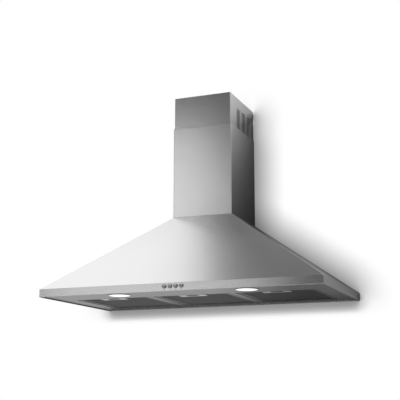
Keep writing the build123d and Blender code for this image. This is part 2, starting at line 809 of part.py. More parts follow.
for side, x in lamp_xs.items():
    with BuildPart() as lamp_bezel:
        rod((x, lamp_y, bezel_bottom), (0, 0, 1), lamp_hole_radius + bezel_flange, bezel_thickness)
        fillet(lamp_bezel.faces().sort_by(Axis.Z)[0].edges(), bezel_thickness / 2)
        rod((x, lamp_y, bezel_bottom), (0, 0, 1), bezel_tube_radius, bezel_thickness + bezel_height)
        rod((x, lamp_y, bezel_bottom), (0, 0, 1), bezel_bore, bezel_thickness + bezel_height, Mode.SUBTRACT)
    finish(lamp_bezel, f"lamp_bezel_{side}")

    with BuildPart() as lamp_lens:
        rod((x, lamp_y, lens_bottom), (0, 0, 1), bezel_bore - seat_clearance, lens_thickness)
        fillet(lamp_lens.faces().sort_by(Axis.Z)[0].edges(), lens_edge)
    finish(lamp_lens, f"lamp_lens_{side}")

    with BuildPart() as lamp_body:
        for index in range(2 * lamp_fin_count):
            radius = bezel_tube_radius - (index % 2) * lamp_fin_depth
            rod((x, lamp_y, lamp_body_bottom + index * fin_pitch), (0, 0, 1), radius, fin_pitch)
    finish(lamp_body, f"lamp_body_{side}")

with BuildPart() as lamp_clips:
    for x in lamp_xs.values():
        for turn in (-1, 1):
            inner = bezel_tube_radius + seat_clearance
            outer = inner + clip_reach
            with BuildSketch(Plane(origin=(x, lamp_y, 0), x_dir=(0, turn, 0), z_dir=(turn, 0, 0))):
                with BuildLine():
                    Polyline(
                        (inner, clip_root), (inner, clip_root - clip_strip), (outer, panel_top),
                        (outer + clip_strip, panel_top), (outer + clip_strip, clip_foot),
                        (inner + clip_strip, clip_root),
                        close=True,
                    )
                make_face()
            extrude(amount=clip_width / 2, both=True)
finish(lamp_clips, "lamp_clips")

# Grease filters: a channel frame around a mesh pack, with rear tabs and a spring latch in front
filter_half_width = opening_width / 2 - filter_clearance
filter_front = opening_front_edge + filter_clearance
filter_rear = opening_rear_edge - filter_clearance
mesh_bottom = filter_bottom + filter_sheet
mesh_top = filter_top - filter_sheet
latch_box_half = latch_box_width / 2
latch_box_front = filter_front + latch_box_setback
latch_box_rear = latch_box_front + latch_box_depth
latch_box_top = mesh_top - mesh_clearance
latch_inner_front = latch_box_front + latch_wall
latch_inner_rear = latch_box_rear - latch_wall
latch_inner_top = latch_box_top - latch_wall
plate_bottom = filter_bottom - latch_plate_thickness
slide_half = slide_width / 2
slide_top = latch_inner_top - latch_gap
riser_front = latch_inner_front + latch_gap
lip_rear = riser_front + slide_length
tongue_bottom = mesh_bottom + latch_gap
tongue_top = tongue_bottom + slide_strip
tongue_front = opening_front_edge - tongue_reach
slot_half = slide_half + latch_gap
slot_top = tongue_top + latch_gap
lip_bottom = plate_bottom + slide_lip_recess
ear_front = riser_front + ear_setback
ear_rear = ear_front + slide_strip
ear_outer_x = slide_half + ear_width
latch_coil_x = slide_half + ear_width / 2
latch_coil_z = slide_top - latch_coil_radius - latch_wire_radius
latch_coil_start = ear_rear + latch_wire_radius + seat_clearance
latch_coil_end = latch_inner_rear - latch_wire_radius - seat_clearance

for side, x in filter_xs.items():
    with BuildPart() as filter_frame:
        block(x - filter_half_width, x + filter_half_width, filter_front, filter_rear, filter_bottom,
              filter_top)
        block(x - filter_half_width + filter_sheet, x + filter_half_width - filter_sheet,
              filter_front + filter_sheet, filter_rear - filter_sheet, mesh_bottom, mesh_top, Mode.SUBTRACT)
        block(x - filter_half_width + filter_band, x + filter_half_width - filter_band,
              filter_front + filter_band, filter_rear - filter_band, filter_bottom, filter_top,
              Mode.SUBTRACT)
        # Seat of the latch box in the lower flange, and the tongue's slot in the front wall
        block(x - latch_box_half - seat_clearance, x + latch_box_half + seat_clearance,
              latch_box_front - seat_clearance, filter_front + filter_band, filter_bottom, mesh_bottom,
              Mode.SUBTRACT)
        block(x - slot_half, x + slot_half, filter_front, filter_front + filter_sheet,
              mesh_bottom, slot_top, Mode.SUBTRACT)
        for tab in (-1, 1):
            tab_x = x + tab * tab_spacing / 2
            block(tab_x - tab_width / 2, tab_x + tab_width / 2, filter_rear, opening_rear_edge + tab_reach,
                  filter_bottom, filter_bottom + tab_thickness)
    finish(filter_frame, f"filter_frame_{side}")

    mesh_half = filter_half_width - filter_sheet - seat_clearance
    with BuildPart() as filter_mesh:
        block(x - mesh_half, x + mesh_half, filter_front + filter_sheet + seat_clearance,
              filter_rear - filter_sheet - seat_clearance, mesh_bottom + mesh_clearance,
              mesh_top - mesh_clearance)
        block(x - latch_box_half - seat_clearance, x + latch_box_half + seat_clearance, filter_front,
              latch_box_rear + seat_clearance, mesh_bottom, mesh_top, Mode.SUBTRACT)
    finish(filter_mesh, f"filter_mesh_{side}")

    with BuildPart() as latch_plate:
        with BuildSketch(Plane.XY.offset(plate_bottom)):
            with Locations((x, filter_front + latch_plate_setback + latch_plate_depth / 2)):
                RectangleRounded(latch_plate_width, latch_plate_depth, latch_plate_corner)
        extrude(amount=latch_plate_thickness)
        block(x - latch_box_half, x + latch_box_half, latch_box_front, latch_box_rear, filter_bottom,
              latch_box_top)
        block(x - latch_box_half + latch_wall, x + latch_box_half - latch_wall, latch_inner_front,
              latch_inner_rear, filter_bottom, latch_inner_top, Mode.SUBTRACT)
        block(x - slot_half, x + slot_half, latch_box_front, latch_inner_front, mesh_bottom, slot_top,
              Mode.SUBTRACT)
        block(x - finger_width / 2, x + finger_width / 2, filter_front + finger_front,
              filter_front + finger_front + finger_depth, plate_bottom, filter_bottom, Mode.SUBTRACT)
    finish(latch_plate, f"latch_plate_{side}")

    with BuildPart() as latch_slide:
        # One bent strip: tongue, riser, top and finger lip
        block(x - slide_half, x + slide_half, tongue_front, riser_front + slide_strip, tongue_bottom,
              tongue_top)
        block(x - slide_half, x + slide_half, riser_front, riser_front + slide_strip, tongue_bottom,
              slide_top)
        block(x - slide_half, x + slide_half, riser_front, lip_rear, slide_top - slide_strip, slide_top)
        block(x - slide_half, x + slide_half, lip_rear - slide_strip, lip_rear, lip_bottom, slide_top)
        for turn in (-1, 1):
            ear_in = x + turn * (slide_half - slide_strip)
            ear_out = x + turn * ear_outer_x
            block(min(ear_in, ear_out), max(ear_in, ear_out), ear_front, ear_rear,
                  latch_coil_z - latch_coil_radius - latch_wire_radius, slide_top)
    finish(latch_slide, f"latch_slide_{side}")

    with BuildPart() as latch_springs:
        for turn in (-1, 1):
            with BuildLine():
                coil = Helix(latch_coil_pitch, latch_coil_end - latch_coil_start, latch_coil_radius,
                             center=(x + turn * latch_coil_x, latch_coil_start, latch_coil_z),
                             direction=(0, 1, 0))
            with BuildSketch(Plane(origin=coil @ 0, z_dir=coil % 0)):
                Circle(latch_wire_radius)
            sweep(path=coil, is_frenet=True)
    finish(latch_springs, f"latch_springs_{side}")

# Control box on the back panel, with its cover and the motor's run capacitor
divider_x = -filter_pitch / 2
box_right = divider_x - control_box_lead_room
box_left = box_right - control_box_width
box_back = back_panel_face - seat_clearance
box_front = box_back - control_box_depth
box_top = control_box_floor + control_box_height
lead_y = (box_back + box_front) / 2
lead_low = control_box_floor + lead_rise
lead_levels = [lead_low + i * lead_rise for i in range(3)]
motor_lead_z = box_top - 2 * lead_rise

with BuildPart() as control_box:
    block(box_left, box_right, box_front, box_back, control_box_floor, box_top)
    block(box_left + control_wall, box_right - control_wall, box_front, box_back - control_wall,
          control_box_floor + control_wall, box_top - control_wall, Mode.SUBTRACT)
    for z in lead_levels + [motor_lead_z]:
        rod((box_right, lead_y, z), (-1, 0, 0), lead_radius + lead_hole_clearance, control_wall,
            Mode.SUBTRACT)
finish(control_box, "control_box")

with BuildPart() as control_cover:
    block(box_left, box_right, box_front - control_cover_thickness, box_front, control_box_floor, box_top)
finish(control_cover, "control_cover")

with BuildPart() as run_capacitor:
    capacitor_end = box_left + control_wall + seat_clearance
    capacitor_y = box_back - control_wall - seat_clearance - capacitor_radius
    capacitor_z = (control_box_floor + box_top) / 2
    rod((capacitor_end, capacitor_y, capacitor_z), (1, 0, 0), capacitor_radius, capacitor_length)
    fillet(run_capacitor.edges().filter_by(GeomType.CIRCLE), sheet)
finish(run_capacitor, "run_capacitor")

# Cable gland for the mains lead, in the top plate inside the chimney
with BuildPart() as cable_gland:
    rod((gland_x, gland_y, top_plate_bottom - gland_flange_thickness), (0, 0, 1),
        gland_radius + gland_flange, gland_flange_thickness)
    rod((gland_x, gland_y, canopy_height), (0, 0, 1), gland_radius + gland_flange, gland_flange_thickness)
    rod((gland_x, gland_y, top_plate_bottom), (0, 0, 1), gland_radius, sheet)
    rod((gland_x, gland_y, top_plate_bottom - gland_flange_thickness), (0, 0, 1), gland_bore,
        sheet + 2 * gland_flange_thickness, Mode.SUBTRACT)
finish(cable_gland, "cable_gland")

# Leads inside the canopy, clipped along the left divider and up the back panel to the control box
lead_floor = panel_top + lead_radius + seat_clearance
lead_in = box_right - lead_entry
lamp_lead_z = lamp_body_bottom + lead_radius + fin_pitch
switch_lead_y = switch_rear + board_thickness
front_run_y = lamp_y + lead_pitch


def lead(points):
    """A round lead along straight runs joined by bends."""
    with BuildPart() as cable:
        with BuildLine():
            route = FilletPolyline(*points, radius=lead_bend)
        with BuildSketch(Plane(origin=route @ 0, z_dir=route % 0)):
            Circle(lead_radius)
        sweep(path=route)
    fill = cable.part.volume / (route.length * pi * lead_radius**2)
    print(f"lead of {route.length:.1f} mm, its volume over section times length {fill:.4f}")
    return cable.part


def divider_route(offset, level):
    """The last points of a lead that runs along the divider, up the back and into the control box."""
    x = divider_x + offset
    return [(x, lead_y, lead_floor), (x, lead_y, level), (lead_in, lead_y, level)]


left_lamp_lead = lead(
    [(lamp_xs["left"] + bezel_tube_radius, lamp_y, lamp_lead_z),
     (divider_x - lead_pitch - lead_bend, lamp_y, lamp_lead_z),
     (divider_x - lead_pitch, lamp_y + 2 * lead_bend, lead_floor)]
    + divider_route(-lead_pitch, lead_levels[0])
)
right_lamp_lead = lead(
    [(lamp_xs["right"] - bezel_tube_radius, front_run_y, lamp_lead_z),
     (lamp_xs["right"] - lamp_hole_radius - 3 * lead_bend, front_run_y, lamp_lead_z),
     (lamp_xs["right"] - lamp_hole_radius - 6 * lead_bend, front_run_y, lead_floor),
     (divider_x + lead_pitch, front_run_y, lead_floor)]
    + divider_route(lead_pitch, lead_levels[2])
)
with BuildPart() as lamp_leads:
    add(left_lamp_lead)
    add(right_lamp_lead)
finish(lamp_leads, "lamp_leads")

switch_lead_cable = lead(
    [(button_xs[0], switch_lead_y, button_axis_z),
     (button_xs[0], switch_lead_y + 2 * lead_bend, button_axis_z),
     (divider_x, switch_lead_y + 2 * lead_bend, lead_floor)]
    + divider_route(0.0, lead_levels[1])
)
with BuildPart() as switch_lead:
    add(switch_lead_cable)
finish(switch_lead, "switch_lead")

motor_lead_start = motor_rear - motor_cap_length
motor_lead_x = (motor_lead_start + box_right) / 2
motor_lead_cable = lead(
    [(motor_lead_start, axis_y, axis_z), (motor_lead_x, axis_y, axis_z),
     (motor_lead_x, lead_y, motor_lead_z), (lead_in, lead_y, motor_lead_z)]
)
with BuildPart() as motor_lead:
    add(motor_lead_cable)
finish(motor_lead, "motor_lead")

# Bridge clips that hold the three leads down on the divider
bridge_half = divider_width / 2 - filter_clearance
bridge_top = lead_floor + lead_radius + seat_clearance
with BuildPart() as lead_clips:
    for share in range(1, clip_count + 1):
        y = opening_front_edge + opening_depth * share / (clip_count + 1)
        block(divider_x - bridge_half, divider_x + bridge_half, y, y + clip_bridge_length, panel_top,
              bridge_top + clip_bridge)
        block(divider_x - bridge_half + clip_bridge, divider_x + bridge_half - clip_bridge, y,
              y + clip_bridge_length, panel_top, bridge_top, Mode.SUBTRACT)
finish(lead_clips, "lead_clips")
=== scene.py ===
# %% [markdown]
# # A wall mount range hood
#
# A 90 cm chimney hood in brushed stainless steel. Its solids are already modelled at their real size,
# so this lesson leaves their shapes alone. It gives each of them a finish, splits the springs into coils,
# adds what is too fine for a solid (the expanded mesh of the grease filters, the marks printed under
# the buttons) and sets up a small studio: a white wall for the hood to hang on, softboxes and a camera.

# %% Load the solids
import math

import bmesh
import bpy
from mathutils import Matrix, Vector


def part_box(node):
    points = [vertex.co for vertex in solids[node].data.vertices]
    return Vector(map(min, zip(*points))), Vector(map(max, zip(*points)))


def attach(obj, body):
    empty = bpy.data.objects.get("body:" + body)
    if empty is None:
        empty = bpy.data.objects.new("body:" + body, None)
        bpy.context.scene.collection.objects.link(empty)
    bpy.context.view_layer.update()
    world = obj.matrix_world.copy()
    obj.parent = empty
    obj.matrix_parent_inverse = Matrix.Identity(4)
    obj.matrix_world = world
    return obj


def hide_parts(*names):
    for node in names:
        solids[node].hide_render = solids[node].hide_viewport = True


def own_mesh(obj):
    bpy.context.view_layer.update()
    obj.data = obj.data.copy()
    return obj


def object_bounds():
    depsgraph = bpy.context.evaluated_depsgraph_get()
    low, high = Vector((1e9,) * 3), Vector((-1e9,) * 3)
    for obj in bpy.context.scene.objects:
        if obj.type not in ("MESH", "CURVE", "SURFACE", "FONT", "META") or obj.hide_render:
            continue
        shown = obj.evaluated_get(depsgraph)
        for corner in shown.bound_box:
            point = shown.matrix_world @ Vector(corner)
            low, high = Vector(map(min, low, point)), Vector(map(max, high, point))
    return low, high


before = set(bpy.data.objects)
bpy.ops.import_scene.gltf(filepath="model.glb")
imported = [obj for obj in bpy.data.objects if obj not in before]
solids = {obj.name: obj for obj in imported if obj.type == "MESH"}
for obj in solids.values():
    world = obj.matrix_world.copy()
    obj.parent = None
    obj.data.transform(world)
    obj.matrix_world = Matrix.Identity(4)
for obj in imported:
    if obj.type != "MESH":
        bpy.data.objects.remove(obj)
cad_low, cad_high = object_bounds()
scene = bpy.context.scene
scene.view_settings.view_transform = "Standard"
print(len(solids), "solids, overall size", [round(side, 4) for side in cad_high - cad_low], "m")

# %% [markdown]
# ## Camera
#
# The hood hangs above eye level and is seen from the right, from a little under the rim, so that the
# underside shows as a narrow band. A view camera would hold the uprights upright by shifting its lens.
# A large shift would push the hood out of the frame once the camera walks round it, so most of the
# upward look is a tilt here, and the lens is shifted only a little.

# %% Camera
camera_place = (1.0613, -2.8989, -0.3183)
camera_turn = math.radians(21.848)
camera_tilt = math.radians(11.768)
lens_length = 82.44
lens_shift = 0.03

lens = bpy.data.cameras.new("lens")
lens.lens = lens_length
lens.shift_y = lens_shift
camera = bpy.data.objects.new("camera", lens)
camera.location = camera_place
camera.rotation_euler = (math.pi / 2 + camera_tilt, 0, camera_turn)
scene.collection.objects.link(camera)
scene.camera = camera
print("camera", camera_place, "lens", lens_length, "mm")

# %% [markdown]
# ## A short way to write finishes
#
# Every finish below is a tree of shader nodes. Written out link by link such a tree is hard to read, so
# two small classes help. A Strand is one value running through the tree, and arithmetic on strands adds
# the Math or Vector Math nodes. A Finish is the tree itself: its one method, node(), adds any other node
# from its type, its settings and its sockets.


# %% Strands and finishes
class Strand:
    """One value that runs through a finish. Arithmetic on it adds nodes."""

    def __init__(self, finish, socket):
        self.finish = finish
        self.socket = socket

    def worked(self, operation, *values):
        kind = "VectorMath" if self.socket.type == "VECTOR" else "Math"
        return self.finish.node(kind, {"operation": operation}, dict(enumerate(values)))

    def __add__(self, other):
        return self.worked("ADD", self, other)

    def __radd__(self, other):
        return self.worked("ADD", other, self)

    def __sub__(self, other):
        return self.worked("SUBTRACT", self, other)

    def __rsub__(self, other):
        return self.worked("SUBTRACT", other, self)

    def __mul__(self, other):
        return self.worked("MULTIPLY", self, other)

    def __rmul__(self, other):
        return self.worked("MULTIPLY", other, self)

    def __pow__(self, other):
        return self.worked("POWER", self, other)

    def __gt__(self, other):
        return self.worked("GREATER_THAN", self, other)

    def __abs__(self):
        return self.worked("ABSOLUTE", self)


class Finish:
    """The node tree of one material, or of the world."""

    def __init__(self, owner):
        self.owner = owner
        owner.use_nodes = True
        self.tree = owner.node_tree
        self.tree.nodes.clear()

    def node(self, kind, settings=None, sockets=None, output=0):
        made = self.tree.nodes.new("ShaderNode" + kind)
        for name, value in (settings or {}).items():
            if name == "stops":
                self.set_stops(made.color_ramp, value)
            else:
                setattr(made, name, value)
        for name, value in (sockets or {}).items():
            if isinstance(value, Strand):
                self.tree.links.new(value.socket, made.inputs[name])
            else:
                made.inputs[name].default_value = value
        return Strand(self, made.outputs[output]) if made.outputs else None

    def set_stops(self, ramp, stops):
        while len(ramp.elements) < len(stops):
            ramp.elements.new(1.0)
        for element, (position, colour) in zip(ramp.elements, stops):
            element.position = position
            element.color = colour

    def place(self):
        """Where a point lies on its piece, in metres."""
        return self.node("TexCoord", output="Object")

    def part(self, vector, axis):
        """One part of a vector: its X, Y or Z."""
        return self.node("SeparateXYZ", sockets={0: vector}, output=axis)

    def ranged(self, value, start, end, low=0.0, high=1.0):
        """Low where the value is at start, high where it is at end, and even steps between."""
        return self.node("MapRange", sockets={
            "Value": value, "From Min": start, "From Max": end, "To Min": low, "To Max": high})

    def openness(self, reach, samples=16, **sockets):
        """How much of the room within reach a point sees: 1 in the open, near 0 when shut in."""
        sockets["Distance"] = reach
        return self.node("AmbientOcclusion", {"samples": samples}, sockets, output="AO")

    def noise(self, place, stretch, detail=2.0):
        """Soft random cells, so many to the metre along X, Y and Z."""
        sockets = {"Vector": place * stretch, "Scale": 1.0, "Detail": detail}
        return self.node("TexNoise", sockets=sockets, output="Fac")

    def between(self, share, first, second):
        """A colour part of the way from first to second."""
        return self.node("Mix", {"data_type": "RGBA"}, {0: share, 6: first, 7: second}, output=2)

    def bumped(self, height, depth, edge_radius=0.0):
        """A normal roughened by height, with the piece's edges softened first."""
        sockets = {"Height": height, "Distance": depth, "Strength": 1.0}
        if edge_radius:
            sockets["Normal"] = self.node("Bevel", {"samples": 6}, {"Radius": edge_radius})
        return self.node("Bump", sockets=sockets)

    def surface(self, shader):
        self.node("OutputMaterial", sockets={"Surface": shader})
        return self.owner


def new_finish(name):
    return Finish(bpy.data.materials.new(name))


def grey(level, warmth=0.0):
    return (level * (1 + warmth), level, level * (1 - warmth), 1.0)


finishes = {}
print("finishes are built from", Strand.__name__, "and", Finish.__name__)

# %% [markdown]
# ## The wall and the floor
#
# The hood hangs on a wall, and its polished sides and underside mirror that wall, so the wall does half
# the shading. Rays from the camera, and rays that steel or glass has turned, see it as plain white that
# darkens close to the hood. That shade comes from an Ambient Occlusion node, which measures how much of
# the room a point of the wall can see. Steel mirrors a darker wall than the camera sees: with a wider
# shade beside the chimney, dim beside the pyramid, and dimmest under the right half of the hood.
#
# Behind the chimney no light falls, so the wall is black there, and so is the small corner above it that
# only the vents look into. Only the wall's front is solid. From behind it is clear, it has an opening
# behind the canopy, and it lets light through behind the chimney, so that the back of the hood can be
# looked at and lit too.

# %% Which rays see the paint
canopy_low, canopy_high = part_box("canopy")
chimney_low, chimney_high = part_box("upper_chimney")


def seen_not_lit(finish):
    """1 for rays from the camera and rays turned by steel or glass, 0 for scattered light."""
    camera_ray = finish.node("LightPath", output="Is Camera Ray")
    glossy_ray = finish.node("LightPath", output="Is Glossy Ray")
    clear_ray = finish.node("LightPath", output="Is Transmission Ray")
    return camera_ray + glossy_ray + clear_ray


def one_sided(finish, shader, open_share=0.0):
    """The shader on the front, and nothing at all from behind or where open_share is 1."""
    behind = finish.node("NewGeometry", output="Backfacing")
    clear = finish.node("BsdfTransparent")
    return finish.node("MixShader", sockets={
        0: behind.worked("MAXIMUM", behind, open_share), 1: shader, 2: clear})


print("the chimney stands", round(chimney_high.z - canopy_high.z, 3), "m above the canopy")

# %% Where no light falls
shut_reach = 0.3
shut_openness = (0.42, 0.5)
inside_openness = (0.62, 0.7)
corner_openness = (0.72, 0.86)
sight_reach, sight_edge = 0.064, 0.006
sight_drop, drop_edge = 0.03, 0.003


def inside_chimney(finish):
    """1 on the wall behind the chimney, as high as it reaches at rest, and 0 elsewhere."""
    across, up = finish.part(finish.place(), "X"), finish.part(finish.place(), "Z")
    return (chimney_high.x - abs(across) > 0) * (up > canopy_high.z) * (1 - (up > chimney_high.z))


def unlit_wall(finish):
    """1 where the chimney shuts the light out, also in the corners that only the vents look into."""
    across, up = finish.part(finish.place(), "X"), finish.part(finish.place(), "Z")
    openness = finish.openness(shut_reach)
    side_room = chimney_high.x - abs(across)
    over = up - chimney_high.z
    shut = finish.ranged(openness, *shut_openness, 1.0, 0.0)
    inside = finish.ranged(openness, *inside_openness, 1.0, 0.0) * (1 - (over > 0))
    corner = finish.ranged(side_room, sight_reach, sight_reach + sight_edge, 1.0, 0.0)
    corner = corner * finish.ranged(openness, *corner_openness, 1.0, 0.0)
    behind_vents = finish.ranged(side_room - over, sight_drop, sight_drop + drop_edge)
    seen_by_vents = inside.worked("MAXIMUM", inside, corner * behind_vents)
    return (side_room > 0) * (up > canopy_high.z) * shut.worked("MAXIMUM", shut, seen_by_vents)


print("no light falls behind", round(2 * chimney_high.x, 3), "m of chimney")

# %% Wall paint
wall_tone = 0.8
shade_reach, shade_depth = 0.11, 1.7
under_reach, under_depth = 0.044, 5.0
under_low, under_high = -0.05, 0.01
mirrored_reach, mirrored_depth = 0.36, 2.3
mirrored_low, mirrored_high, mirrored_dim = 0.22, 0.56, 0.43
mirrored_under_depth = 3.2
slope_low, slope_high, slope_share = 0.1, 0.14, 0.38
below_left, below_right = -0.05, 0.22
below_bright, below_dim = 0.56, 0.2
towards_light = (-0.6, -0.8, 0.1)


def wall_shades(finish):
    """How bright the wall is to the camera, and how bright to steel that mirrors it."""
    across, up = finish.part(finish.place(), "X"), finish.part(finish.place(), "Z")
    lean = finish.node("CombineXYZ", sockets=dict(enumerate(towards_light)))
    beside = finish.openness(shade_reach) ** shade_depth
    under = finish.openness(under_reach)
    wide = finish.openness(mirrored_reach, Normal=lean) ** mirrored_depth
    above = finish.ranged(up, under_low, under_high)
    seen = under**under_depth + above * (beside - under**under_depth)
    by_chimney = wide * finish.ranged(up, mirrored_low, mirrored_high, mirrored_dim)
    on_slope = finish.ranged(up, slope_low, slope_high) * (1 - (up > canopy_high.z))
    by_sides = by_chimney + on_slope * (beside * slope_share - by_chimney)
    below = finish.ranged(across, below_left, below_right, below_bright, below_dim)
    below = below * under**mirrored_under_depth
    return seen, below + above * (by_sides - below)


def wall_paint():
    finish = new_finish("wall_paint")
    camera_ray = finish.node("LightPath", output="Is Camera Ray")
    seen, mirrored = wall_shades(finish)
    shade = (mirrored + camera_ray * (seen - mirrored)) * (1 - unlit_wall(finish))
    bright = finish.node("Emission", sockets={
        "Color": finish.between(shade, grey(0), grey(1)), "Strength": 1.0})
    matt = finish.node("BsdfDiffuse", sockets={"Color": grey(wall_tone)})
    paint = finish.node("MixShader", sockets={0: seen_not_lit(finish), 1: matt, 2: bright})
    let_through = inside_chimney(finish) * (1 - camera_ray)
    return finish.surface(one_sided(finish, paint, let_through))


print("the wall's shade reaches", shade_reach, "m from the hood")

# %% Wall
wall_half_width = 2.4
wall_top = 1.38
floor_level = -0.9
wall_gap = 0.0008
rim_height = 0.025
opening_margin = 0.0015


def stage_sheet(name, loops, to_place, paint):
    """A flat sheet filled between closed outlines, the first one its edge and the others its openings."""
    sheet = bmesh.new()
    for loop in loops:
        corners = [sheet.verts.new(to_place(across, up)) for across, up in loop]
        for first, second in zip(corners, corners[1:] + corners[:1]):
            sheet.edges.new((first, second))
    bmesh.ops.triangle_fill(sheet, use_beauty=True, edges=sheet.edges[:])
    mesh = bpy.data.meshes.new(name)
    sheet.to_mesh(mesh)
    sheet.free()
    mesh.materials.append(paint)
    made = bpy.data.objects.new(name, mesh)
    scene.collection.objects.link(made)
    return made


def turn_towards(made, direction):
    """Flips the sheet's faces that look away from direction."""
    for face in made.data.polygons:
        if face.normal.dot(Vector(direction)) < 0:
            face.flip()


neck_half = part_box("lower_chimney")[1].x - opening_margin
rim_half = canopy_high.x - opening_margin
neck_level = canopy_high.z - opening_margin
wall_edge = [(-wall_half_width, floor_level), (wall_half_width, floor_level),
             (wall_half_width, wall_top), (-wall_half_width, wall_top)]
behind_canopy = [(-rim_half, opening_margin), (rim_half, opening_margin), (rim_half, rim_height),
                 (neck_half, neck_level), (-neck_half, neck_level), (-rim_half, rim_height)]
wall = stage_sheet("wall", [wall_edge, behind_canopy],
                   lambda across, up: (across, cad_high.y + wall_gap, up), wall_paint())
turn_towards(wall, (0, -1, 0))
print("wall of", len(wall.data.polygons), "faces, open behind the canopy")

# %% Floor
floor_reach = 4.5
floor_glow = 0.08


def floor_paint():
    finish = new_finish("floor_paint")
    matt = finish.node("BsdfDiffuse", sockets={"Color": grey(wall_tone)})
    glow = finish.node("Emission", sockets={"Color": grey(floor_glow), "Strength": 1.0})
    pale = finish.node("AddShader", sockets={0: matt, 1: glow})
    paint = finish.node("MixShader", sockets={0: seen_not_lit(finish), 1: matt, 2: pale})
    return finish.surface(one_sided(finish, paint))


floor_edge = [(-wall_half_width, -floor_reach), (wall_half_width, -floor_reach),
              (wall_half_width, cad_high.y + wall_gap), (-wall_half_width, cad_high.y + wall_gap)]
floor = stage_sheet("floor", [floor_edge],
                    lambda across, along: (across, along, floor_level), floor_paint())
turn_towards(floor, (0, 0, 1))
print("floor at", floor_level, "m, below the rim")

# %% [markdown]
# ## Light
#
# Steel shows its surroundings, so the lights are placed by asking what each face mirrors. The front
# faces mirror what stands to the left of the camera, so two softboxes stand there: an upper one for the
# chimney and a lower one for the rim, bright at its left end and gone at its right end. The pyramid
# leans back and mirrors the ceiling, so a third softbox hangs there, again on the left. All are about as
# bright as lit white paper. A small lamp high in front lights what isn't steel from a side that no face
# mirrors, and a softbox on the right serves the views from there.

# %% Softboxes
def softbox(name, centre, aim, width, height, brightness, roll=0.0):
    """A rectangular lamp whose face is brightness times as bright as lit white paper."""
    lamp = bpy.data.lights.new(name, "AREA")
    lamp.shape = "RECTANGLE"
    lamp.size = width
    lamp.size_y = height
    lamp.energy = brightness * math.pi * width * height
    made = bpy.data.objects.new(name, lamp)
    facing = (Vector(aim) - Vector(centre)).to_track_quat("-Z", "Y").to_matrix().to_4x4()
    made.matrix_world = Matrix.Translation(centre) @ facing @ Matrix.Rotation(roll, 4, "Z")
    made.visible_camera = False
    scene.collection.objects.link(made)
    print(name, "lamp of", round(lamp.energy, 1), "W")


softbox("upper_left_softbox", (-1.67, -3.2, 1.11), (-1.67, 0, 1.11), 1.2, 0.83, 1.35, roll=math.radians(14))
softbox("lower_left_softbox", (-1.4, -3.2, 0.185), (-1.4, 0, 0.185), 1.68, 0.67, 0.98)
softbox("ceiling_softbox", (-2.25, 0, 2.6), (-2.25, 0, 0), 2.7, 2.4, 1.15)
softbox("right_softbox", (2.6, -2.8, 1.5), (0, -0.2, 0.15), 2.4, 2.2, 1.0)
softbox("front_lamp", (0.4, -2.5, 3.0), (0, -0.2, 0.2), 1.0, 1.0, 10.0)

# %% Room
room = bpy.data.worlds.new("room")
scene.world = room
room_finish = Finish(room)
direction = room_finish.node("TexCoord", output="Generated")
towards_wall = room_finish.part(direction, "Y")
room_tone = room_finish.node(
    "ValToRGB", {"stops": [(0.0, grey(0.05)), (0.2, grey(0.07)), (0.5, grey(0.1)), (0.8, grey(0.5))]},
    {0: towards_wall * 0.5 + 0.5})
background = room_finish.node("Background", sockets={"Color": room_tone, "Strength": 1.0})
room_finish.node("OutputWorld", sockets={"Surface": background})
print("room brightens from front to back")

# %% [markdown]
# ## Brushed stainless steel
#
# The canopy, the chimney and the underside are folded from sheet that was brushed lengthwise, so fine
# scratches run level round every face. Noise squeezed a few hundred times along one direction makes
# them: squeezed along Z on upright and leaning faces, and along Y on faces that lie flat. The scratches
# set the roughness and a very shallow bump, and broad soft patches stand for handling. The sheet is
# brushed on its outer side only, so faces that look into the hood are duller, and they are painted a
# dark grey as shade. A Bevel node rounds the chimney's folds a little, so that they catch a line of
# light, and a painted highlight pales them along it. The canopy's edges and those of the vent slots stay
# crisp.

# %% Shaded inner sides and painted edge highlights
edge_highlight_radius = 0.0015
edge_highlight_flatness = (0.995, 0.9)
faces_wall_above = 0.5
back_flange = -0.01
faces_middle_above = 0.002


def inner_side(finish):
    """1 on faces that look into the hood, 0 on its outer faces."""
    facing = finish.node("TexCoord", output="Normal")
    across, back = finish.part(finish.place(), "X"), finish.part(finish.place(), "Y")
    faces_wall = (finish.part(facing, "Y") > faces_wall_above) * (1 - (back > back_flange))
    faces_middle = 0 - across * finish.part(facing, "X") > faces_middle_above
    return faces_wall.worked("MAXIMUM", faces_wall, faces_middle)


def worn_edges(finish):
    """1 on an edge, 0 on flat sheet: where the chimney's folds get a painted highlight."""
    rounded = finish.node("Bevel", {"samples": 6}, {"Radius": edge_highlight_radius})
    true_facing = finish.node("NewGeometry", output="True Normal")
    flatness = finish.node("VectorMath", {"operation": "DOT_PRODUCT"},
                           {0: rounded, 1: true_facing}, output="Value")
    return finish.ranged(flatness, *edge_highlight_flatness)


print("painted edge highlights reach", edge_highlight_radius * 1000, "mm")

# %% Brushed steel
fold_radius = 0.0026
slot_edge_radius = 0.0006
slots_from = canopy_high.z + 0.1
slots_behind = chimney_low.y + 0.02
# Above the canopy the folds are rounded and get a painted highlight of this pale tone.
rounded_folds_above = canopy_high.z
edge_highlight_tone = 0.95
# The dark grey of the inner faces is painted shade inside the hood.
inner_shade_tone, mill_roughness = 0.2, 0.5
lies_flat_above = 0.9
hairline_stretch = (9, 1500)
streak_stretch = (2.5, 170)
patches_per_metre = 5
tone_spread = 0.02
scratch_depth = 0.00002
recess_openness = (0.4, 0.8)
recess_shade_tone = 0.05


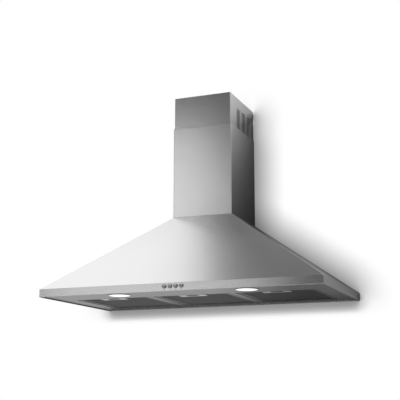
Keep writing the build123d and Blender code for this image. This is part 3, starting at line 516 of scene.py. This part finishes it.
def brushed_steel(name, tone, roughness, recess_reach=0.0):
    """Steel brushed on its outer side and dull on its inner side, which is painted dark as shade. Recesses
    can get painted shade too.
    """
    finish = new_finish(name)
    place = finish.place()
    facing = finish.node("TexCoord", output="Normal")
    lies_flat = abs(finish.part(facing, "Z")) > lies_flat_above

    def brushing(along, across):
        upright = finish.noise(place, (along, along, across))
        flat = finish.noise(place, (along, across, along))
        return upright + lies_flat * (flat - upright)

    hairlines, streaks = brushing(*hairline_stretch), brushing(*streak_stretch)
    handling = finish.noise(place, (patches_per_metre,) * 3, detail=3.0)
    back, up = finish.part(place, "Y"), finish.part(place, "Z")
    by_slots = (up > slots_from) * (back > slots_behind)
    crisp = by_slots.worked("MAXIMUM", by_slots, 1 - (up > rounded_folds_above))
    inner = inner_side(finish)
    colour = finish.between(streaks * 0.7 + hairlines * 0.3,
                            grey(tone * (1 - tone_spread)), grey(tone * (1 + tone_spread)))
    # Painted highlight: the chimney's fold edges are paled to a light grey.
    colour = finish.between(worn_edges(finish) * (1 - crisp), colour, grey(edge_highlight_tone))
    # Painted shade: faces that look into the hood get a dark grey that stands in for the shade inside it.
    colour = finish.between(inner, colour, grey(inner_shade_tone))
    # Painted shade: where a point is shut in, its colour is darkened towards near black.
    if recess_reach:
        shown = finish.ranged(finish.openness(recess_reach, samples=8), *recess_openness)
        colour = finish.between(shown, grey(tone * recess_shade_tone), colour)
    gloss = roughness + (hairlines - 0.5) * 0.08 + (streaks - 0.5) * 0.02 + (handling - 0.5) * 0.04
    gloss = gloss + inner * (mill_roughness - roughness)
    edge_radius = fold_radius + crisp * (slot_edge_radius - fold_radius)
    steel = finish.node("BsdfPrincipled", sockets={
        "Base Color": colour, "Metallic": 1.0, "Roughness": gloss,
        "Normal": finish.bumped(hairlines, scratch_depth, edge_radius)})
    return finish.surface(steel)


finishes["brushed_steel"] = brushed_steel("brushed_sheet", 0.70, 0.24)
# Painted shade: the underside is the same steel, drawn much darker because it lies in shade.
shaded_panel_steel = brushed_steel("panel_sheet_shaded", 0.37, 0.26)
upper_steel = brushed_steel("upper_sheet", 0.63, 0.24)
# The latch plates get painted shade in their recesses.
finishes["latch_steel"] = brushed_steel("latch_sheet", 0.93, 0.36, recess_reach=0.012)
print("brushed steel for the sheet, the underside, the upper chimney and the latches")

# %% [markdown]
# ## Plated, polished and drawn metal
#
# The metal behind the sheet is plainer. Galvanised parts show the spangle of the zinc bath, which is a
# Voronoi pattern of flat crystals that differ a little in tone and gloss. Buttons and lamp bezels are
# polished, so their grain is very shallow. Screws, springs, filters and the motor can are one tone of
# metal with a grain and soft stains; the filters' aluminium is drawn very dark, as painted shade.

# %% Galvanised sheet
spangles_per_metre = 90


def galvanised(name, tone):
    finish = new_finish(name)
    place = finish.place()
    spangle = finish.node("TexVoronoi", sockets={"Vector": place, "Scale": spangles_per_metre},
                          output="Color")
    crystal = finish.node("SeparateColor", sockets={0: spangle}, output="Red")
    frost = finish.noise(place, (420, 420, 420), detail=3.0)
    metal = finish.node("BsdfPrincipled", sockets={
        "Base Color": finish.between(crystal, grey(tone * 0.86, -0.01), grey(tone * 1.1, -0.02)),
        "Metallic": 1.0,
        "Roughness": 0.34 + crystal * 0.14 + frost * 0.08,
        "Normal": finish.bumped(frost + crystal, 0.00003)})
    return finish.surface(metal)


finishes["galvanised_steel"] = galvanised("zinc_spangle", 0.58)
print("galvanised sheet with", spangles_per_metre, "crystals to the metre")


# %% Plain metals
def plain_metal(name, tone, roughness, grain_per_metre, grain_depth, warmth=0.0):
    """Metal of one tone: a grain in its gloss and its surface, and soft stains in its colour."""
    finish = new_finish(name)
    place = finish.place()
    grain = finish.noise(place, (grain_per_metre,) * 3, detail=3.0)
    stain = finish.noise(place, (45, 45, 45), detail=4.0)
    metal = finish.node("BsdfPrincipled", sockets={
        "Base Color": finish.between(stain, grey(tone * 0.88, warmth), grey(tone * 1.1, warmth)),
        "Metallic": 1.0,
        "Roughness": roughness + (grain - 0.5) * 0.16 + (stain - 0.5) * 0.1,
        "Normal": finish.bumped(grain, grain_depth, 0.0003)})
    return finish.surface(metal)


plain_metals = {
    "polished_steel": plain_metal("polished_turning", 0.48, 0.14, 900, 0.000004),
    "lamp_aluminium": plain_metal("cast_aluminium", 0.62, 0.46, 1400, 0.00006),
    # Painted shade: filter frames and strands are aluminium drawn very dark for the shade under the hood.
    "filter_aluminium": plain_metal("satin_aluminium_shaded", 0.22, 0.38, 700, 0.00002),
    "filter_mesh": plain_metal("expanded_strands_shaded", 0.13, 0.42, 900, 0.00003),
    "spring_steel": plain_metal("drawn_wire", 0.5, 0.3, 1600, 0.00002, 0.02),
    "zinc_screws": plain_metal("zinc_plate", 0.6, 0.27, 600, 0.00001, 0.03),
    "motor_steel": plain_metal("motor_can", 0.34, 0.42, 500, 0.00003),
}
finishes.update(plain_metals)
print("plain metals:", ", ".join(plain_metals))

# %% [markdown]
# ## Plastics, rubber and the circuit board
#
# Moulded parts take the texture of a spark-eroded mould: fine pits, soft gloss. One function with a
# colour and a gloss covers the blower, the switch housing, the control box, the capacitor, the leads
# and the rubber. The contact board is laminate with tinned tracks, drawn by a stepped wave.

# %% Moulded parts
pits_per_metre = 1800


def moulded(name, colour, roughness, pit_depth):
    finish = new_finish(name)
    place = finish.place()
    pits = finish.noise(place, (pits_per_metre,) * 3, detail=1.0)
    flow = finish.noise(place, (14, 14, 30), detail=3.0)
    darker = tuple(part * 0.86 for part in colour)
    paler = tuple(min(1.0, part * 1.12) for part in colour)
    plastic = finish.node("BsdfPrincipled", sockets={
        "Base Color": finish.between(flow, (*darker, 1.0), (*paler, 1.0)),
        "Roughness": roughness + (pits - 0.5) * 0.15 + (flow - 0.5) * 0.1,
        "Normal": finish.bumped(pits, pit_depth, 0.0004)})
    return finish.surface(plastic)


finishes["blower_plastic"] = moulded("blower_moulding", (0.085, 0.087, 0.09), 0.48, 0.00005)
finishes["switch_plastic"] = moulded("switch_moulding", (0.05, 0.05, 0.052), 0.5, 0.00003)
finishes["control_plastic"] = moulded("control_moulding", (0.74, 0.74, 0.72), 0.44, 0.00004)
finishes["capacitor_shell"] = moulded("capacitor_moulding", (0.8, 0.79, 0.75), 0.36, 0.00002)
# Painted shade: the chimney bracket is near black so that the inside of the chimney reads dark through the
# vents.
finishes["black_steel"] = moulded("bracket_black_shade", (0.03, 0.03, 0.031), 0.46, 0.00004)
finishes["black_rubber"] = moulded("rubber_moulding", (0.03, 0.03, 0.031), 0.72, 0.00006)
finishes["lead_sheath"] = moulded("lead_extrusion", (0.7, 0.7, 0.68), 0.42, 0.00002)
print("mouldings with", pits_per_metre, "pits to the metre")


# %% Contact board
def board():
    finish = new_finish("contact_board")
    place = finish.place()
    wave = finish.node("TexWave", {"wave_type": "BANDS"},
                       {"Vector": place, "Scale": 60.0, "Distortion": 3.0, "Detail": 0.0}, output="Fac")
    track = wave > 0.78
    weave = finish.noise(place, (1200, 1200, 1200))
    laminate = finish.node("BsdfPrincipled", sockets={
        "Base Color": finish.between(track, (0.03, 0.16, 0.07, 1.0), (0.4, 0.42, 0.4, 1.0)),
        "Metallic": track * 0.8,
        "Roughness": 0.3 + weave * 0.15,
        "Normal": finish.bumped(track + weave * 0.3, 0.00003)})
    return finish.surface(laminate)


finishes["board_laminate"] = board()
print("finishes so far:", ", ".join(sorted(finishes)))

# %% [markdown]
# ## Lit lamp lenses
#
# The two lamps are on. A frosted lens over a ring of diodes glows evenly, a little less towards its
# rim, and is moulded with fine rings. Distance from the lens's axis gives both, and because the two
# lamps lie mirrored about the middle, the absolute value of X lets one finish serve them.

# %% Lamp lenses
lens_low, lens_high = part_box("lamp_lens_right")
lens_centre = (lens_low + lens_high) / 2
lens_radius = (lens_high.x - lens_low.x) / 2
lens_rings = 9


def lamp_lens():
    finish = new_finish("frosted_lens")
    place = finish.place()
    across, along = finish.part(place, "X"), finish.part(place, "Y")
    off_axis = ((abs(across) - lens_centre.x) ** 2.0 + (along - lens_centre.y) ** 2.0) ** 0.5
    share = off_axis * (1 / lens_radius)
    ring = share.worked("SINE", share * (lens_rings * 2 * math.pi))
    glow = finish.node("ValToRGB", {"stops": [
        (0.0, grey(1.0)), (0.7, grey(0.97)), (0.93, grey(0.82)), (1.0, grey(0.6))]}, {0: share})
    glass = finish.node("BsdfPrincipled", sockets={
        "Base Color": grey(0.9), "Roughness": 0.35 + ring * 0.05, "Emission Color": glow,
        "Emission Strength": 1.0, "Normal": finish.bumped(ring, 0.0001)})
    return finish.surface(glass)


finishes["lamp_glass"] = lamp_lens()
print("lens radius", round(lens_radius * 1000, 1), "mm")

# %% [markdown]
# ## Dress the solids
#
# Each solid came in with a plain material named after its slot in the record, so the right finish is
# looked up by that name. A few pieces have a finish of their own: the underside is painted a tone darker
# than the other sheet as shade, the upper chimney is a tone darker too, and the latch slides are blackened.

# %% Dress the solids
blackened = plain_metal("blackened_strip", 0.06, 0.4, 900, 0.00002)
own_finishes = {"bottom_panel": shaded_panel_steel, "upper_chimney": upper_steel}
for side in ("left", "centre", "right"):
    own_finishes["latch_slide_" + side] = blackened
for name, solid in solids.items():
    for used in solid.material_slots:
        used.material = own_finishes.get(name) or finishes[used.material.name]
print("dressed", len(solids), "solids,", len(own_finishes), "of them in a finish of their own")

# %% [markdown]
# ## Springs
#
# The coils behind the buttons and the latches become pieces of their own, riding on the hood and on the
# filters.

# %% Springs
coil_margin = 0.001


def riding_piece(name, mesh, paint, body):
    """A mesh made into a piece that rides on a body."""
    mesh.materials.append(paint)
    made = bpy.data.objects.new(name, mesh)
    scene.collection.objects.link(made)
    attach(made, body)
    return made


def working_spring(name, node, left, right, body):
    """The coils of a node between left and right, as a piece of their own that rides on a body."""
    coils = bmesh.new()
    coils.from_mesh(solids[node].data)
    coils.transform(solids[node].matrix_world)
    others = [corner for corner in coils.verts if not left < corner.co.x < right]
    bmesh.ops.delete(coils, geom=others, context="VERTS")
    mesh = bpy.data.meshes.new(name)
    coils.to_mesh(mesh)
    coils.free()
    made = riding_piece(name, mesh, finishes["spring_steel"], body)
    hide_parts(node)
    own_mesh(made)


for button in ("light", "speed_1", "speed_2", "speed_3"):
    button_low, button_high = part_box("button_" + button)
    working_spring("coil_" + button, "button_springs", button_low.x, button_high.x, "hood_body")
for side in ("left", "centre", "right"):
    springs = "latch_springs_" + side
    spring_low, spring_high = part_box(springs)
    working_spring("coils_latch_" + side, springs, spring_low.x - coil_margin, spring_high.x + coil_margin,
                   "filter_" + side)

# %% [markdown]
# ## Grease filters
#
# A grease filter is a pack of aluminium mesh between two sheets of expanded metal. Expanded metal is
# slit and stretched until it opens into rows of diamonds, and each strand twists a little. A texture
# could draw the diamonds, but from below the hood the light catches the strands, so they are modelled:
# four short strands round every opening, with the far one lifted and the near one lowered, then
# thickened. The pack inside is a stack of thin darker layers.

# %% Expanded metal
diamond_long = 0.013
diamond_short = 0.0065
opening_share = 0.66
strand_lift = 0.0005
strand_thickness = 0.0005


def diamond_centres(low, high, notch_low, notch_high):
    """Centres of the diamonds that fit between low and high and stay out of the latch's notch."""
    columns = int((high.x - low.x) / diamond_long)
    rows = int((high.y - low.y) / (diamond_short / 2)) - 1
    start_x = (low.x + high.x - (columns - 1) * diamond_long) / 2
    start_y = (low.y + high.y - (rows - 1) * diamond_short / 2) / 2
    for row in range(rows):
        y = start_y + row * diamond_short / 2
        odd = row % 2
        for column in range(columns - odd):
            x = start_x + (column + odd / 2) * diamond_long
            beside_notch = x + diamond_long / 2 < notch_low.x or x - diamond_long / 2 > notch_high.x
            if beside_notch or y - diamond_short / 2 > notch_high.y:
                yield x, y


def expanded_sheet(low, high, notch_low, notch_high, level):
    """Corners and faces of one sheet of expanded metal, before it is thickened."""
    corners, shared, faces = [], {}, []
    reach = [(diamond_long / 2, 0), (0, diamond_short / 2), (-diamond_long / 2, 0), (0, -diamond_short / 2)]
    for x, y in diamond_centres(low, high, notch_low, notch_high):
        ring = []
        for across, along in reach:
            key = (round((x + across) * 1e5), round((y + along) * 1e5))
            if key not in shared:
                shared[key] = len(corners)
                corners.append((x + across, y + along, level))
            ring.append(shared[key])
        inner = []
        for across, along in reach:
            lift = strand_lift * (along > 0) - strand_lift * (along < 0)
            inner.append(len(corners))
            corners.append((x + across * opening_share, y + along * opening_share, level + lift))
        for side in range(4):
            after = (side + 1) % 4
            faces.append((ring[side], ring[after], inner[after], inner[side]))
    return corners, faces


print("diamonds of", diamond_long * 1000, "by", diamond_short * 1000, "mm")

# %% Pack layers
pack_layers = 3
layer_thickness = 0.0012
pack_clearance = 0.0008
wires_per_metre = 380.0
wire_stretch = (1.0, 1.6, 1.0)
wire_depth = 0.0004


def pack_layer(low, high, notch_low, notch_high, level):
    """Corners and faces of one flat layer of the pack, cut out round the latch."""
    outline = [(low.x, low.y), (notch_low.x, low.y), (notch_low.x, notch_high.y),
               (notch_high.x, notch_high.y), (notch_high.x, low.y), (high.x, low.y),
               (high.x, high.y), (low.x, high.y)]
    bottom = [(x, y, level) for x, y in outline]
    top = [(x, y, level + layer_thickness) for x, y in outline]
    count = len(outline)
    walls = [(i, (i + 1) % count, (i + 1) % count + count, i + count) for i in range(count)]
    under, over = tuple(reversed(range(count))), tuple(range(count, 2 * count))
    return bottom + top, [under, over, *walls]


def pack_mesh():
    """Fine crossed wires, with painted shade between them, for the layers inside a filter."""
    finish = new_finish("pack_wires")
    wires = finish.node("TexVoronoi", {"feature": "DISTANCE_TO_EDGE"},
                        {"Vector": finish.place() * wire_stretch, "Scale": wires_per_metre},
                        output="Distance")
    # Painted shade: the wires are dark grey and the gaps between them are near black.
    wire = finish.node("ValToRGB", {"stops": [(0.0, grey(0.16)), (0.14, grey(0.11)), (0.26, grey(0.03))]},
                       {0: wires})
    foil = finish.node("BsdfPrincipled", sockets={
        "Base Color": wire, "Metallic": 1.0, "Roughness": 0.45 + wires * 0.5,
        "Normal": finish.bumped(wires, wire_depth)})
    return finish.surface(foil)


pack_paint = pack_mesh()
print("packs of", pack_layers, "layers,", layer_thickness * 1000, "mm each")

# %% Filters
latch_notch_half = 0.0335
latch_overlap = 0.0032
half_strand = strand_lift + strand_thickness / 2


def filter_piece(name, parts, paint, body):
    """One piece from several lists of corners and faces, riding on a body."""
    corners, faces = [], []
    for part_corners, part_faces in parts:
        faces += [tuple(index + len(corners) for index in face) for face in part_faces]
        corners += part_corners
    mesh = bpy.data.meshes.new(name)
    mesh.from_pydata(corners, [], faces)
    made = riding_piece(name, mesh, paint, body)
    return made


for side in ("left", "centre", "right"):
    mesh_low, mesh_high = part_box("filter_mesh_" + side)
    plate_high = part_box("latch_plate_" + side)[1]
    middle = (mesh_low.x + mesh_high.x) / 2
    notch_low = Vector((middle - latch_notch_half, mesh_low.y, 0))
    notch_high = Vector((middle + latch_notch_half, plate_high.y - latch_overlap, 0))
    sheets = [expanded_sheet(mesh_low, mesh_high, notch_low, notch_high, level)
              for level in (mesh_low.z + half_strand, mesh_high.z - half_strand)]
    strands = filter_piece("filter_strands_" + side, sheets, finishes["filter_mesh"],
                           "filter_" + side)
    thicken = strands.modifiers.new("thickness", "SOLIDIFY")
    thicken.thickness = strand_thickness
    thicken.offset = 0.0
    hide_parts("filter_mesh_" + side)
    pack_low = mesh_low.z + 2 * half_strand + pack_clearance
    pack_high = mesh_high.z - 2 * half_strand - pack_clearance
    step = (pack_high - pack_low - layer_thickness) / (pack_layers - 1)
    layers = [pack_layer(mesh_low, mesh_high, notch_low, notch_high, pack_low + step * layer)
              for layer in range(pack_layers)]
    filter_piece("filter_pack_" + side, layers, pack_paint, "filter_" + side)
    diamonds = len(strands.data.polygons) // (4 * len(sheets))
    print("filter", side, "has", diamonds, "diamonds in each sheet")

# %% [markdown]
# ## Marks under the buttons
#
# A small dark mark is printed under each button: a lamp sign, then plain numbers for the three speeds.
# Text and curve objects already know how to fill an outline, so the marks are made as such, turned into
# meshes as thin as ink and laid on the front of the rim.

# %% Signs
mark_height = 0.0036
capital_share = 0.7
ring_outer, ring_inner = 0.5, 0.3
ray_start, ray_half_width = 0.66, 0.09


def circle_points(radius, count=28):
    turns = [2 * math.pi * step / count for step in range(count)]
    return [(radius * math.cos(turn), radius * math.sin(turn)) for turn in turns]


def lamp_sign():
    """A ring with eight short rays."""
    size = mark_height / 2
    outlines = [circle_points(size * ring_outer), circle_points(size * ring_inner)]
    for ray in range(8):
        turn = ray * math.pi / 4
        out = Vector((math.cos(turn), math.sin(turn)))
        side = Vector((-out.y, out.x)) * size * ray_half_width
        near, far = out * size * ray_start, out * size
        outlines.append([tuple(near - side), tuple(far - side), tuple(far + side), tuple(near + side)])
    curve = bpy.data.curves.new("lamp_sign", "CURVE")
    curve.dimensions = "2D"
    curve.fill_mode = "BOTH"
    for outline in outlines:
        spline = curve.splines.new("POLY")
        spline.points.add(len(outline) - 1)
        for point, (x, y) in zip(spline.points, outline):
            point.co = (x, y, 0, 1)
        spline.use_cyclic_u = True
    return curve


def number_sign(number):
    curve = bpy.data.curves.new("number_sign", "FONT")
    curve.body = str(number)
    curve.size = mark_height / capital_share
    curve.align_x = "CENTER"
    curve.align_y = "CENTER"
    return curve


print("signs", mark_height * 1000, "mm high")

# %% Printed marks
mark_level = 0.0052
ink_thickness = 0.00006


def ink():
    finish = new_finish("printed_ink")
    grain = finish.noise(finish.place(), (3000, 3000, 3000))
    print_layer = finish.node("BsdfPrincipled", sockets={
        "Base Color": finish.between(grain, grey(0.02), grey(0.06)),
        "Roughness": 0.5 + grain * 0.2, "Normal": finish.bumped(grain, 0.00001)})
    return finish.surface(print_layer)


def printed_mark(name, curve, across, paint):
    """A sign turned into a mesh as thin as ink, on the front of the rim."""
    curve.extrude = ink_thickness / 2
    drawn = bpy.data.objects.new(name + "_outline", curve)
    scene.collection.objects.link(drawn)
    shapes = bpy.context.evaluated_depsgraph_get()
    mesh = bpy.data.meshes.new_from_object(drawn.evaluated_get(shapes))
    bpy.data.objects.remove(drawn)
    upright = Matrix.Rotation(math.pi / 2, 4, "X")
    mesh.transform(Matrix.Translation((across, canopy_low.y - ink_thickness / 2, mark_level)) @ upright)
    mesh.materials.clear()
    return riding_piece(name, mesh, paint, "hood_body")


ink_paint = ink()
for button in ("button_light", "button_speed_1", "button_speed_2", "button_speed_3"):
    button_low, button_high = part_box(button)
    number = button.removeprefix("button_speed_")
    sign = lamp_sign() if button == "button_light" else number_sign(number)
    mark = printed_mark("mark_" + button, sign, (button_low.x + button_high.x) / 2, ink_paint)
    print(mark.name, "with", len(mark.data.polygons), "faces")
